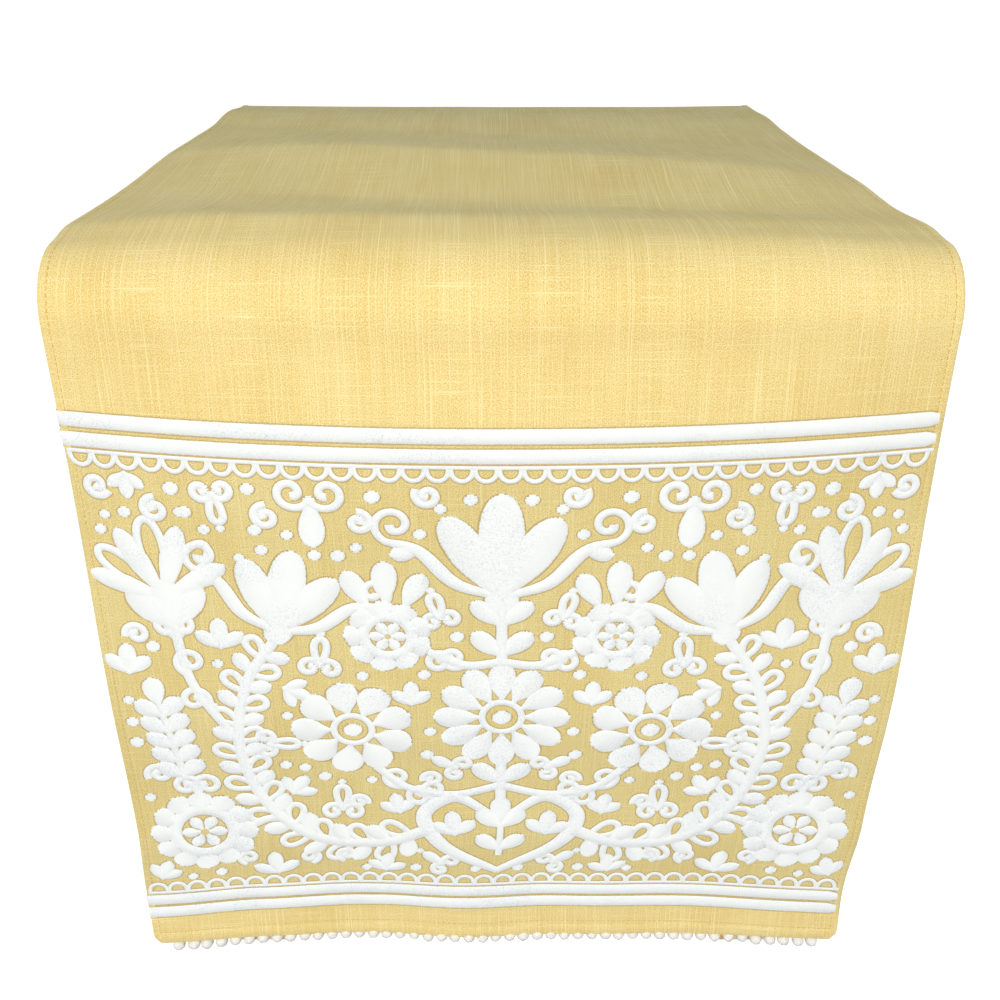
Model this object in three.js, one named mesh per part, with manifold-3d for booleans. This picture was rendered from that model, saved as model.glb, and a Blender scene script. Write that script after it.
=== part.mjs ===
// A yellow linen table runner with a hanging end at the front and at the back, draped over a plain low table.
// Millimetres, +Z up. The origin is on the floor under the middle of the object. X runs across the runner,
// Y runs along it, and the front end hangs at -Y. Each hanging end has a trim of small white cotton balls.
import * as THREE from "three";
import { mergeVertices } from "three/addons/utils/BufferGeometryUtils.js";
import Module from "manifold-3d";

const wasm = await Module();
wasm.setup();

// Driving dimensions
const runner = { width: 400, length: 1270, thickness: 1.4, cornerRound: 7 };
const hem = { thickness: 2.4, side: 5, end: 9, slope: 0.5 };
const table = { width: 380, depth: 475, height: 436, topThickness: 32, edgeRound: 24 };
const leg = { side: 36, inset: 22 };
const apron = { height: 58, thickness: 18, setBack: 5 };
const trim = { sideMargin: 9, backGap: 0.6, tapeThickness: 1, tapeAboveHem: 6, tapeBelowHem: 2.6 };
const ball = { radius: 3.6, pitch: 8.1, setBack: 1 };
const gap = { touching: 0.3, edge: 2 };
const bendRadius = 27.5;
const ridgeFade = 22;
const bellyPower = 2.2;

// Levels of the middle of the cloth, and distances along it from the middle of the table
const half = { width: runner.width / 2, length: runner.length / 2, depth: table.depth / 2 };
const topLevel = table.height + gap.touching + runner.thickness / 2;
const bendStart = half.depth - table.edgeRound + gap.edge;
const bendEnd = bendStart + (bendRadius * Math.PI) / 2;
const dropTop = topLevel - bendRadius;
const hemDrop = half.length - bendEnd;

// Soft ridges across the cloth on the table: where each one's crest crosses the middle line, how far the crest
// slants from side to side, how wide and high it is, and the share of its height left at the left and right edges
const ridges = [
  { along: -196, slant: 6, spread: 52, rise: 2.2, left: 0.6, right: 0.9 },
  { along: 152, slant: -10, spread: 50, rise: 3.2, left: 0.8, right: 0.5 },
];

// Two sharper crests; the near and the far side of each have their own spread
const creases = [
  { along: -50, slant: -42, near: 78, far: 122, rise: 12, left: 1.05, right: 0.9 },
  { along: 112, slant: -16, near: 34, far: 60, rise: 3, left: 0.9, right: 0.5 },
];
const crestRound = 7;

// Stiff linen swells before it goes over the front edge and then turns down slowly: how far it stands off the
// plain drape by distance from its middle, how far the swelling slants, and its share at the left and right
const swell = {
  slant: 15,
  left: 1.2,
  right: 0.6,
  rows: [
    { distance: 122, out: 0 },
    { distance: 150, out: 1.6 },
    { distance: 180, out: 5.2 },
    { distance: 200, out: 7.4 },
    { distance: 210, out: 7.4 },
    { distance: 220, out: 6 },
    { distance: 230, out: 3.9 },
    { distance: 240, out: 1.9 },
    { distance: 252, out: 0.5 },
    { distance: 268, out: 0 },
  ],
};

// How much of the creases and of the swelling is gone at the cloth's side edges
const edgeCalm = 0.88;

// How far the cloth has slid sideways along its length, as it lies a little askew
const drifts = [
  { along: -half.length, across: -2.4 },
  { along: -598, across: -2.6 },
  { along: -544, across: 0.2 },
  { along: -448, across: 1 },
  { along: -232, across: 0.5 },
  { along: -140, across: -3 },
  { along: 60, across: -4 },
  { along: 300, across: -3.6 },
  { along: half.length, across: -1.2 },
];

// How far each hanging end stands out from an upright plane, in its middle and at its side edges, by how far
// down the end hangs there below the bend
const bellies = {
  front: [
    { drop: 0, middle: 8, sides: 0 },
    { drop: 50, middle: 15, sides: 0 },
    { drop: 190, middle: 7, sides: 5 },
    { drop: 285, middle: -1, sides: 0 },
    { drop: 340, middle: -6, sides: -2.5 },
    { drop: hemDrop, middle: -4, sides: 0 },
  ],
  back: [
    { drop: 0, middle: 6, sides: 0 },
    { drop: 60, middle: 11, sides: 0 },
    { drop: 200, middle: 8, sides: 3 },
    { drop: 300, middle: 2, sides: 0 },
    { drop: hemDrop, middle: -2, sides: -2 },
  ],
};

// Soft upright folds of each hanging end: the middle of the fold across the cloth, how wide it is, how far it
// stands out at the hem (a trough is below nought) and how far down it begins
const folds = {
  front: [
    { across: -192, spread: 58, out: 3, begins: 110 },
    { across: -84, spread: 50, out: -1.5, begins: 190 },
    { across: -14, spread: 48, out: 2.5, begins: 215 },
    { across: 112, spread: 64, out: -1.5, begins: 170 },
  ],
  back: [
    { across: -150, spread: 70, out: -5, begins: 130 },
    { across: -40, spread: 66, out: 6, begins: 80 },
    { across: 78, spread: 72, out: -6, begins: 110 },
    { across: 186, spread: 56, out: 4, begins: 150 },
  ],
};

const easing = (t) => {
  const held = Math.min(1, Math.max(0, t));
  return held * held * (3 - 2 * held);
};

const bell = (distance, spread) =>
  Math.abs(distance) < spread ? 0.5 + 0.5 * Math.cos((Math.PI * distance) / spread) : 0;

const calmAt = (side) => 1 - edgeCalm * Math.pow(side, 4);

// How far the cloth lies above its flat level on the table
function riseOnTable(across, along) {
  const side = across / half.width;
  let rise = 0;
  for (const ridge of ridges) {
    const share = THREE.MathUtils.lerp(ridge.left, ridge.right, (side + 1) / 2);
    rise += ridge.rise * share * bell(along - ridge.along - ridge.slant * side, ridge.spread);
  }
  for (const crease of creases) {
    const share = THREE.MathUtils.lerp(crease.left, crease.right, (side + 1) / 2);
    const off = along - crease.along - crease.slant * side;
    const rounded = (Math.hypot(off, crestRound) - crestRound) / (off < 0 ? crease.near : crease.far);
    rise += crease.rise * share * calmAt(side) * Math.pow(Math.max(0, 1 - rounded), 1.2);
  }
  return rise * easing((bendStart - Math.abs(along)) / ridgeFade);
}

// Reads one column of a table at a place between its rows, easing from row to row
function readTable(rows, placeColumn, place, column) {
  const next = rows.findIndex((row) => row[placeColumn] >= place);
  if (next === 0) return rows[0][column];
  if (next < 0) return rows[rows.length - 1][column];
  const [before, after] = [rows[next - 1], rows[next]];
  const share = (place - before[placeColumn]) / (after[placeColumn] - before[placeColumn]);
  return THREE.MathUtils.lerp(before[column], after[column], easing(share));
}

// How far the swelling stands off the plain drape, on a curve through its rows without flat steps between them
function swellOut(across, along) {
  const { rows } = swell;
  const side = across / half.width;
  const place = -along - swell.slant * side * easing((262 + along) / 50);
  const next = rows.findIndex((row) => row.distance >= place);
  if (along > 0 || next <= 0) return 0;
  const slope = (k) =>
    k === 0 || k === rows.length - 1
      ? 0
      : (rows[k + 1].out - rows[k - 1].out) / (rows[k + 1].distance - rows[k - 1].distance);
  const width = rows[next].distance - rows[next - 1].distance;
  const t = (place - rows[next - 1].distance) / width;
  const out =
    (2 * t ** 3 - 3 * t ** 2 + 1) * rows[next - 1].out +
    (t ** 3 - 2 * t ** 2 + t) * width * slope(next - 1) +
    (3 * t ** 2 - 2 * t ** 3) * rows[next].out +
    (t ** 3 - t ** 2) * width * slope(next);
  return out * THREE.MathUtils.lerp(swell.left, swell.right, (side + 1) / 2) * calmAt(side);
}

// How far a hanging end stands out from the upright plane below the bend
function outOnDrop(end, across, drop) {
  const roundness = 1 - Math.pow(Math.abs(across) / half.width, bellyPower);
  const sides = readTable(bellies[end], "drop", drop, "sides");
  const middle = readTable(bellies[end], "drop", drop, "middle");
  let out = THREE.MathUtils.lerp(sides, middle, roundness);
  for (const fold of folds[end]) {
    const growth = easing((drop - fold.begins) / (hemDrop - fold.begins));
    out += fold.out * growth * bell(across - fold.across, fold.spread);
  }
  return out;
}

// A point of the cloth: across and along are measured on the cloth from its middle, and outward from the
// middle of its thickness towards the face that shows
function clothPoint(across, along, outward) {
  const out = outward + swellOut(across, along);
  const end = along < 0 ? "front" : "back";
  const sign = along < 0 ? -1 : 1;
  const distance = Math.abs(along);
  const x = across + readTable(drifts, "along", along, "across");
  if (distance <= bendStart) {
    return new THREE.Vector3(x, along, topLevel + riseOnTable(across, along) + out);
  }
  if (distance <= bendEnd) {
    const angle = (distance - bendStart) / bendRadius;
    const reach = bendRadius + out + outOnDrop(end, across, 0) * easing(angle / (Math.PI / 2));
    return new THREE.Vector3(x, sign * (bendStart + reach * Math.sin(angle)), dropTop + reach * Math.cos(angle));
  }
  const drop = distance - bendEnd;
  const y = bendStart + bendRadius + outOnDrop(end, across, drop) + out;
  return new THREE.Vector3(x, sign * y, dropTop - drop);
}

// Half the thickness: the folded hems along the four edges are thicker than the cloth between them
function halfThickness(across, along) {
  const inHem = Math.abs(across) > half.width - hem.side || Math.abs(along) > half.length - hem.end;
  return (inHem ? hem.thickness : runner.thickness) / 2;
}

// How much narrower the cloth is on each side where its corners are rounded
function cornerCut(along) {
  const fromArc = runner.cornerRound - (half.length - Math.abs(along));
  return fromArc > 0 ? runner.cornerRound - Math.sqrt(runner.cornerRound ** 2 - fromArc ** 2) : 0;
}

// A closed thin solid over a grid of stations; place gives a point of its outer face (+1) or inner face (-1)
function sheetSolid(acrossStations, alongStations, place) {
  const columns = acrossStations.length;
  const rows = alongStations.length;
  const positions = [];
  for (const face of [1, -1]) {
    for (const along of alongStations) {
      for (const across of acrossStations) positions.push(...place(across, along, face).toArray());
    }
  }
  const at = (face, row, column) => (face * rows + row) * columns + column;
  const index = [];
  const quad = (a, b, c, d) => index.push(a, b, c, a, c, d);
  for (let row = 0; row < rows - 1; row++) {
    for (let column = 0; column < columns - 1; column++) {
      quad(at(0, row, column), at(0, row, column + 1), at(0, row + 1, column + 1), at(0, row + 1, column));
      quad(at(1, row, column), at(1, row + 1, column), at(1, row + 1, column + 1), at(1, row, column + 1));
    }
    quad(at(0, row, 0), at(0, row + 1, 0), at(1, row + 1, 0), at(1, row, 0));
    const last = columns - 1;
    quad(at(0, row + 1, last), at(0, row, last), at(1, row, last), at(1, row + 1, last));
  }
  for (let column = 0; column < columns - 1; column++) {
    quad(at(0, 0, column + 1), at(0, 0, column), at(1, 0, column), at(1, 0, column + 1));
    const last = rows - 1;
    quad(at(0, last, column), at(0, last, column + 1), at(1, last, column + 1), at(1, last, column));
  }
  const geometry = new THREE.BufferGeometry();
  geometry.setAttribute("position", new THREE.Float32BufferAttribute(positions, 3));
  geometry.setIndex(index);
  geometry.computeVertexNormals();
  return geometry;
}

// Even stations from one value to another, both ends included
function evenly(from, to, steps) {
  return Array.from({ length: steps + 1 }, (_, i) => THREE.MathUtils.lerp(from, to, i / steps));
}

const hemInner = { across: half.width - hem.side - hem.slope, along: half.length - hem.end - hem.slope };
const hemOuter = { across: half.width - hem.side + hem.slope, along: half.length - hem.end + hem.slope };
const innerAcross = evenly(-hemInner.across, hemInner.across, 13);

function makeCloth() {
  const acrossStations = [-half.width, -hemOuter.across, ...innerAcross, hemOuter.across, half.width];
  const corner = [half.length, half.length - 1.5, half.length - 4];
  const drop = evenly(hemInner.along, bendEnd, 12);
  const bend = evenly(bendEnd, bendStart, 7).slice(1);
  const outer = [...corner, hemOuter.along, ...drop, ...bend];
  const onTable = evenly(-bendStart, bendStart, 20).slice(1, -1);
  const alongStations = [...outer.map((distance) => -distance), ...onTable, ...outer.reverse()];
  return sheetSolid(acrossStations, alongStations, (across, along, face) => {
    const inSideHem = Math.abs(across) >= hemInner.across;
    const narrowed = inSideHem ? across - Math.sign(across) * cornerCut(along) : across;
    return clothPoint(narrowed, along, face * halfThickness(across, along));
  });
}

function toManifold(geometry) {
  const bare = geometry.clone();
  bare.deleteAttribute("normal");
  bare.deleteAttribute("uv");
  const merged = mergeVertices(bare, 1e-3);
  const vertProperties = new Float32Array(merged.attributes.position.array);
  const triVerts = new Uint32Array(merged.index.array);
  return new wasm.Manifold(new wasm.Mesh({ numProp: 3, vertProperties, triVerts }));
}

function fromManifold(solid) {
  const mesh = solid.getMesh();
  const geometry = new THREE.BufferGeometry();
  geometry.setAttribute("position", new THREE.BufferAttribute(new Float32Array(mesh.vertProperties), 3));
  geometry.setIndex(new THREE.BufferAttribute(new Uint32Array(mesh.triVerts), 1));
  geometry.computeVertexNormals();
  return geometry;
}

// The ball trim of one end: a narrow tape sewn behind the hem, with a row of balls under the hem's edge
function makeTrim(end) {
  const sign = end === "front" ? -1 : 1;
  const reach = half.width - trim.sideMargin;
  const behind = -(hem.thickness / 2 + trim.backGap + trim.tapeThickness / 2);
  const tapeRows = [half.length + trim.tapeBelowHem, half.length - trim.tapeAboveHem];
  const alongRows = tapeRows.map((distance) => sign * distance).sort((a, b) => a - b);
  const tapeAcross = [-reach, ...innerAcross.slice(1, -1), reach];
  const tape = sheetSolid(tapeAcross, alongRows, (across, along, face) =>
    clothPoint(across, along, behind + (face * trim.tapeThickness) / 2),
  );
  let comb = toManifold(tape);
  const count = Math.floor((2 * reach) / ball.pitch);
  const first = (-(count - 1) * ball.pitch) / 2;
  const ballDrop = half.length + gap.touching + ball.radius;
  for (let i = 0; i < count; i++) {
    const round = new THREE.IcosahedronGeometry(ball.radius);
    const centre = clothPoint(first + i * ball.pitch, sign * ballDrop, -ball.setBack);
    round.translate(centre.x, centre.y, centre.z);
    comb = comb.add(toManifold(round));
  }
  return fromManifold(comb);
}

// The table top: a board with its front and back edges rounded over
function makeTableTop() {
  const low = table.height - table.topThickness;
  const flat = half.depth - table.edgeRound;
  const shape = new THREE.Shape();
  shape.moveTo(-half.depth, low);
  shape.lineTo(half.depth, low);
  shape.lineTo(half.depth, table.height - table.edgeRound);
  shape.absarc(flat, table.height - table.edgeRound, table.edgeRound, 0, Math.PI / 2, false);
  shape.lineTo(-flat, table.height);
  shape.absarc(-flat, table.height - table.edgeRound, table.edgeRound, Math.PI / 2, Math.PI, false);
  shape.closePath();
  const geometry = new THREE.ExtrudeGeometry(shape, { depth: table.width, bevelEnabled: false, curveSegments: 7 });
  // The profile is drawn in Y and Z, and its extrusion is turned to run along X
  geometry.applyMatrix4(new THREE.Matrix4().set(0, 0, 1, -table.width / 2, 1, 0, 0, 0, 0, 1, 0, 0, 0, 0, 0, 1));
  return geometry;
}

const underTop = table.height - table.topThickness - gap.touching;
const legCentre = {
  x: table.width / 2 - leg.inset - leg.side / 2,
  y: half.depth - leg.inset - leg.side / 2,
};

const materials = {
  linen: new THREE.MeshStandardMaterial({ color: 0xe6c26a, roughness: 0.9, metalness: 0 }),
  cotton: new THREE.MeshStandardMaterial({ color: 0xf6f6f2, roughness: 0.95, metalness: 0 }),
  wood: new THREE.MeshStandardMaterial({ color: 0xdcc3a0, roughness: 0.55, metalness: 0 }),
};

const object = new THREE.Group();

function addPiece(name, geometry, material, place = [0, 0, 0]) {
  const mesh = new THREE.Mesh(geometry, material);
  mesh.name = name;
  mesh.position.set(...place);
  object.add(mesh);
}

addPiece("runner_cloth", makeCloth(), materials.linen);
addPiece("ball_trim_front", makeTrim("front"), materials.cotton);
addPiece("ball_trim_back", makeTrim("back"), materials.cotton);
addPiece("table_top", makeTableTop(), materials.wood);

for (const [side, x] of [["left", -1], ["right", 1]]) {
  for (const [end, y] of [["front", -1], ["back", 1]]) {
    const post = new THREE.BoxGeometry(leg.side, leg.side, underTop);
    addPiece(`table_leg_${end}_${side}`, post, materials.wood, [x * legCentre.x, y * legCentre.y, underTop / 2]);
  }
}

const apronLevel = underTop - apron.height / 2;
const crossLength = 2 * legCentre.x - leg.side - 2 * gap.touching;
const sideLength = 2 * legCentre.y - leg.side - 2 * gap.touching;
const apronReach = leg.side / 2 - apron.setBack - apron.thickness / 2;
for (const [end, y] of [["front", -1], ["back", 1]]) {
  const rail = new THREE.BoxGeometry(crossLength, apron.thickness, apron.height);
  addPiece(`table_apron_${end}`, rail, materials.wood, [0, y * (legCentre.y + apronReach), apronLevel]);
}
for (const [side, x] of [["left", -1], ["right", 1]]) {
  const rail = new THREE.BoxGeometry(apron.thickness, sideLength, apron.height);
  addPiece(`table_apron_${side}`, rail, materials.wood, [x * (legCentre.x + apronReach), 0, apronLevel]);
}

export default object;
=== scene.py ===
import math

import bmesh
import bpy
import numpy as np
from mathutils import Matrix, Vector


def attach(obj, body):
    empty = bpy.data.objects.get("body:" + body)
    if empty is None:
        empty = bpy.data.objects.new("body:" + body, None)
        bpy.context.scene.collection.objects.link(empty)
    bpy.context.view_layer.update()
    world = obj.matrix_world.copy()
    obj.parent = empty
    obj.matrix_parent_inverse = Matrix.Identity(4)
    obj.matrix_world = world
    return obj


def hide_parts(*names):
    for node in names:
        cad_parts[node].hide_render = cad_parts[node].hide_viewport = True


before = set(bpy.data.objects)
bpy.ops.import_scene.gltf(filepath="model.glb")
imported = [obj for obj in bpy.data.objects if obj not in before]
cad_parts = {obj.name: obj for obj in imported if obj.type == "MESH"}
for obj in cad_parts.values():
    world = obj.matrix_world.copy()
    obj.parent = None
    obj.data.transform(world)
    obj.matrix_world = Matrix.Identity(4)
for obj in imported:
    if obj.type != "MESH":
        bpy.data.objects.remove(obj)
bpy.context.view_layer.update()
mm = 0.001


# Small helpers

def linear(hexColour):
    # sRGB hex to linear rgba
    parts = [int(hexColour[k:k + 2], 16) / 255 for k in (1, 3, 5)]
    return [c / 12.92 if c <= 0.04045 else ((c + 0.055) / 1.055) ** 2.4 for c in parts] + [1.0]


def addNode(tree, kind, links=(), inputs=None, **settings):
    # adds one node, sets it up, and links sockets given as (input, other node, other output)
    node = tree.nodes.new(kind)
    for name, value in settings.items():
        setattr(node, name, value)
    for name, value in (inputs or {}).items():
        node.inputs[name].default_value = value
    for name, other, output in links:
        tree.links.new(other.outputs[output], node.inputs[name])
    return node


def inOrder(*nodes):
    # links from the first outputs of some nodes to another's first inputs
    return [(k, node, 0) for k, node in enumerate(nodes)]


def setRamp(node, first, last, *between):
    # the colours at both ends of a ramp, and at places between them
    stops = node.color_ramp.elements
    stops[0].color, stops[1].color = linear(first), linear(last)
    for place, colour in between:
        stops.new(place).color = linear(colour)


def newMaterial(name, **surface):
    material = bpy.data.materials.new(name)
    material.use_nodes = True
    shader = material.node_tree.nodes["Principled BSDF"]
    for key, value in surface.items():
        shader.inputs[key].default_value = value
    return material, material.node_tree


def dressed(material, colour, relief=None, strength=0.0, depth=0.0):
    # gives a material's shader its colour, and bump from a relief node, depth in millimetres
    tree = material.node_tree
    shader = tree.nodes["Principled BSDF"]
    tree.links.new(colour.outputs[2], shader.inputs["Base Color"])
    if relief:
        bump = addNode(tree, "ShaderNodeBump", [("Height", relief, 0)],
                       {"Strength": strength, "Distance": depth * mm})
        tree.links.new(bump.outputs[0], shader.inputs["Normal"])
    return material


def addToScene(name, data):
    made = bpy.data.objects.new(name, data)
    bpy.context.scene.collection.objects.link(made)
    return made


def shadeSmooth(mesh, smooth=True):
    mesh.polygons.foreach_set("use_smooth", [smooth] * len(mesh.polygons))


def meshObject(name, points, faces, material, smooth=True):
    mesh = bpy.data.meshes.new(name)
    mesh.from_pydata(np.asarray(points).tolist(), [], faces)
    shadeSmooth(mesh, smooth)
    mesh.materials.append(material)
    return addToScene(name, mesh)


def getPoints(mesh):
    flat = np.empty(len(mesh.vertices) * 3, np.float32)
    mesh.vertices.foreach_get("co", flat)
    return flat.reshape(-1, 3).astype(float)


def setPoints(mesh, points):
    mesh.vertices.foreach_set("co", np.asarray(points, np.float32).ravel())
    mesh.update()


def easing(t):
    t = np.clip(t, 0, 1)
    return t * t * (3 - 2 * t)


def bell(distance, spread):
    return np.where(np.abs(distance) < spread, 0.5 + 0.5 * np.cos(np.pi * distance / spread), 0.0)


def named(columns, *rows):
    # a short table: rows of values under named columns
    return [dict(zip(columns.split(), row)) for row in rows]


# How the cloth hangs: the same tables as the part's source

runner = {
    "width": 400, "length": 1270, "thickness": 1.4, "cornerRound": 7,
    "sideHem": 5, "endHem": 9,          # folded hems along the sides and at the ends
    "hemBehind": 1.0,                   # how much thicker the folded hem is, all of it behind
    "hemPuff": 0.35, "hemGroove": 0.3,  # the hem's fullness, and how deep its stitching draws in
    "seamIn": 0.7, "seamWide": 0.45,    # how far the seam lies in from the hem's fold, and its groove's width
    "edgeSoft": 1.2,                    # how far in from its edge the cloth grows to its full thickness
    "cornerReach": 30,                  # how far in from a side the rounding of a corner moves the threads
    "grid": 4.0,
}
table = {"depth": 475, "height": 436, "edgeRound": 24}
drape = {
    "lift": 0.3,                        # how far the cloth lies over the board
    "bendLate": 2, "bendRadius": 27.5,  # the bend begins this far past the start of the board's rounding
    "ridgeFade": 22,                    # how fast ridges and creases fade out before the bend
    "crestRound": 7,                    # how softly a crest turns over
    "edgeCalm": 0.88,                   # how much of the creases and swellings is gone at the side edges
    "slantEnds": 262, "slantFade": 50,  # where the slant of the swellings ends, and over what length
    "bellyPower": 2.2,                  # higher keeps the bellies full nearer to the sides
}
halfWidth, halfLength = runner["width"] / 2, runner["length"] / 2
topLevel = table["height"] + drape["lift"] + runner["thickness"] / 2
bendRadius = drape["bendRadius"]
bendStart = table["depth"] / 2 - table["edgeRound"] + drape["bendLate"]
bendEnd = bendStart + bendRadius * math.pi / 2
dropTop = topLevel - bendRadius
hemDrop = halfLength - bendEnd

# low ridges: the crest's place along the middle line, its slant, and its share of the rise at either side
ridges = named("along slant spread rise left right",
               (-196, 6, 52, 2.2, 0.6, 0.9),
               (152, -10, 50, 3.2, 0.8, 0.5))
# sharper crests on the table's top; the near and far sides of each have their own spread
creases = named("along slant near far rise left right",
                (-50, -42, 78, 122, 12.0, 1.05, 0.9),
                (112, -16, 34, 60, 3.0, 0.9, 0.5))
# stiff linen swells before it goes over an edge and then turns down slowly: how far it stands off the
# plain drape, by distance from the cloth's middle, how far the swelling slants, and its share at either side
shoulders = {
    "front": {"slant": 15, "left": 1.2, "right": 0.6, "rows": named(
        "distance out", (122, 0), (150, 1.6), (180, 5.2), (200, 7.4), (210, 7.4), (220, 6.0), (230, 3.9),
        (240, 1.9), (252, 0.5), (268, 0))},
    "back": {"slant": 6, "left": 0.8, "right": 0.8, "rows": named(
        "distance out", (170, 0), (190, 0.2), (205, -0.4), (220, -1.6), (236, -2.4), (249, -1.6), (266, 0))},
}
# how far the cloth lies to one side, by place along it
drifts = named("along across", (-halfLength, -2.4), (-598, -2.6), (-544, 0.2), (-448, 1), (-232, 0.5),
               (-140, -3), (60, -4), (300, -3.6), (halfLength, -1.2))
# how far the hanging ends stand out in their middle and at their sides, by distance below the bend
bellies = {
    "front": named("drop middle sides", (0, 8, 0), (50, 15, 0), (190, 7, 5), (285, -1, 0), (340, -6, -2.5),
                   (hemDrop, -4, 0)),
    "back": named("drop middle sides", (0, 6, 0), (60, 11, 0), (200, 8, 3), (300, 2, 0), (hemDrop, -2, -2)),
}
# folds of the hanging ends: each grows from where it begins to how far it stands out at the hem
folds = {
    "front": named("across spread out begins",
                   (-192, 58, 3, 110), (-84, 50, -1.5, 190), (-14, 48, 2.5, 215), (112, 64, -1.5, 170)),
    "back": named("across spread out begins",
                  (-150, 70, -5, 130), (-40, 66, 6, 80), (78, 72, -6, 110), (186, 56, 4, 150)),
}
# slight unevenness that every cloth has, finer than the part's folds: the sum of some waves, cut off at reach
uneven = {"waves": 14, "shortest": 34, "longest": 120, "height": 0.32, "spread": 0.9, "reach": 1.6, "seed": 7}


def readTable(rows, placeColumn, place, column):
    # one column of a table at a place between its rows, eased from row to row
    value = np.full(np.shape(place), float(rows[0][column]))
    for before, after in zip(rows, rows[1:]):
        start, low = before[placeColumn], before[column]
        share = easing((place - start) / (after[placeColumn] - start))
        value = np.where(place > start, low + (after[column] - low) * share, value)
    return value


def readSmoothly(rows, placeColumn, place, column):
    # the same, on a curve that passes through the rows without flat steps between them
    x = np.array([row[placeColumn] for row in rows], float)
    y = np.array([row[column] for row in rows], float)
    slope = np.zeros(len(x))
    slope[1:-1] = (y[2:] - y[:-2]) / (x[2:] - x[:-2])
    at = np.clip(place, x[0], x[-1])
    k = np.clip(np.searchsorted(x, at, "right") - 1, 0, len(x) - 2)
    width = x[k + 1] - x[k]
    t = (at - x[k]) / width
    return ((2 * t**3 - 3 * t**2 + 1) * y[k] + (t**3 - 2 * t**2 + t) * width * slope[k]
            + (3 * t**2 - 2 * t**3) * y[k + 1] + (t**3 - t**2) * width * slope[k + 1])


def unevenness(across, along):
    # a few crossing waves of seeded directions, from 0 to 1
    chance = np.random.default_rng(uneven["seed"])
    total = np.zeros(np.shape(across))
    for _ in range(uneven["waves"]):
        bearing = chance.uniform(0, math.pi)
        length = chance.uniform(uneven["shortest"], uneven["longest"])
        phase = chance.uniform(0, 2 * math.pi)
        distance = across * math.cos(bearing) + along * math.sin(bearing)
        total += np.sin(2 * math.pi * distance / length + phase)
    spread = uneven["spread"] * math.sqrt(uneven["waves"])
    return 0.5 + 0.5 * np.clip(total / spread / uneven["reach"], -1, 1)


def shareAt(row, side):
    # between a row's shares at the left and right sides; side runs from -1 to 1
    return row["left"] + (row["right"] - row["left"]) * (side + 1) / 2


def calmAt(side):
    return 1 - drape["edgeCalm"] * np.abs(side) ** 4


def riseOnTable(across, along):
    side = across / halfWidth
    rise = np.zeros(np.shape(across))
    for ridge in ridges:
        off = along - ridge["along"] - ridge["slant"] * side
        rise += ridge["rise"] * shareAt(ridge, side) * bell(off, ridge["spread"])
    for crease in creases:
        off = along - crease["along"] - crease["slant"] * side
        spread = np.where(off < 0, crease["near"], crease["far"])
        rounded = (np.sqrt(off**2 + drape["crestRound"]**2) - drape["crestRound"]) / spread
        rise += crease["rise"] * shareAt(crease, side) * calmAt(side) * np.clip(1 - rounded, 0, 1) ** 1.2
    return rise * easing((bendStart - np.abs(along)) / drape["ridgeFade"])


def shoulderOut(across, along):
    # the swelling at both edges of the table; it slants, but fades out square at its far end
    distance, side = np.abs(along), across / halfWidth
    out = np.zeros(np.shape(across))
    for end, sign in (("front", -1), ("back", 1)):
        shoulder = shoulders[end]
        fade = easing((drape["slantEnds"] - distance) / drape["slantFade"])
        shift = shoulder["slant"] * across / halfWidth * fade
        swell = readSmoothly(shoulder["rows"], "distance", distance + sign * shift, "out")
        out = np.where(along * sign > 0, shareAt(shoulder, side) * swell, out)
    return out * calmAt(side)


def outOnDrop(end, across, drop):
    roundness = 1 - np.abs(across / halfWidth) ** drape["bellyPower"]
    sides, middle = (readTable(bellies[end], "drop", drop, column) for column in ("sides", "middle"))
    out = sides + (middle - sides) * roundness
    for fold in folds[end]:
        growth = easing((drop - fold["begins"]) / (hemDrop - fold["begins"]))
        out += fold["out"] * growth * bell(across - fold["across"], fold["spread"])
    return out


def clothPoints(across, along, out):
    # points in metres; across and along are measured on the cloth, out from the middle of its thickness
    across, along, out = np.broadcast_arrays(*(np.asarray(v, float) for v in (across, along, out)))
    distance, sign = np.abs(along), np.where(along < 0, -1.0, 1.0)
    out = out + uneven["height"] * unevenness(across, along) + shoulderOut(across, along)
    drop = np.maximum(distance - bendEnd, 0)
    stand = np.where(along < 0, outOnDrop("front", across, drop), outOnDrop("back", across, drop))
    turn = np.clip((distance - bendStart) / bendRadius, 0, math.pi / 2)
    reach = bendRadius + out + stand * easing(turn / (math.pi / 2))
    onTable = distance <= bendStart
    x = across + readTable(drifts, "along", along, "across")
    y = np.where(onTable, along, sign * (bendStart + reach * np.sin(turn)))
    z = np.where(onTable, topLevel + riseOnTable(across, along) + out, dropTop + reach * np.cos(turn) - drop)
    return np.stack([x, y, z], -1) * mm


# Finishes

weave = {
    "thread": 0.9,                       # real threads lie 0.5 mm apart, drawn coarser so that they show
    "dash": (0.4, 0.52),                 # the dry speckle of the yarn, across and along the warp
    "warpRun": 44, "weftRun": 26,        # how far one thread keeps its thickness and colour
    "cloud": (45, 70),                   # broad paler and deeper places
    "wander": 1.2, "wanderOver": 60,     # how far the threads stray, and over what distance
    "tones": (0.76, 1.36),               # the sum of all these where the cloth is deepest and palest
    "warpSlub": 84, "weftSlub": 44, "slubWidth": 0.58,
    "warpRare": (0.66, 0.72), "weftRare": (0.755, 0.8),      # the noise at which a slub sets in and is full
    "slubShows": (0.66, 0.42),           # a slub's paleness on plain cloth and among the stitches
    "panelTop": (338, 333), "panelFoot": (23, 19),           # where the painted shade among the stitching and the fainter slubs begin and end, up from the hem
    # the colour multiplied over the cloth among the stitching is painted shade, the shade between the raised
    # stitches
    "deep": "#D0B062", "yarn": "#EBD38C", "bright": "#F8EDBA", "slub": "#FAEBB4", "paintedShadeAmongStitches": "#F3F8FD",
}


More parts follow.
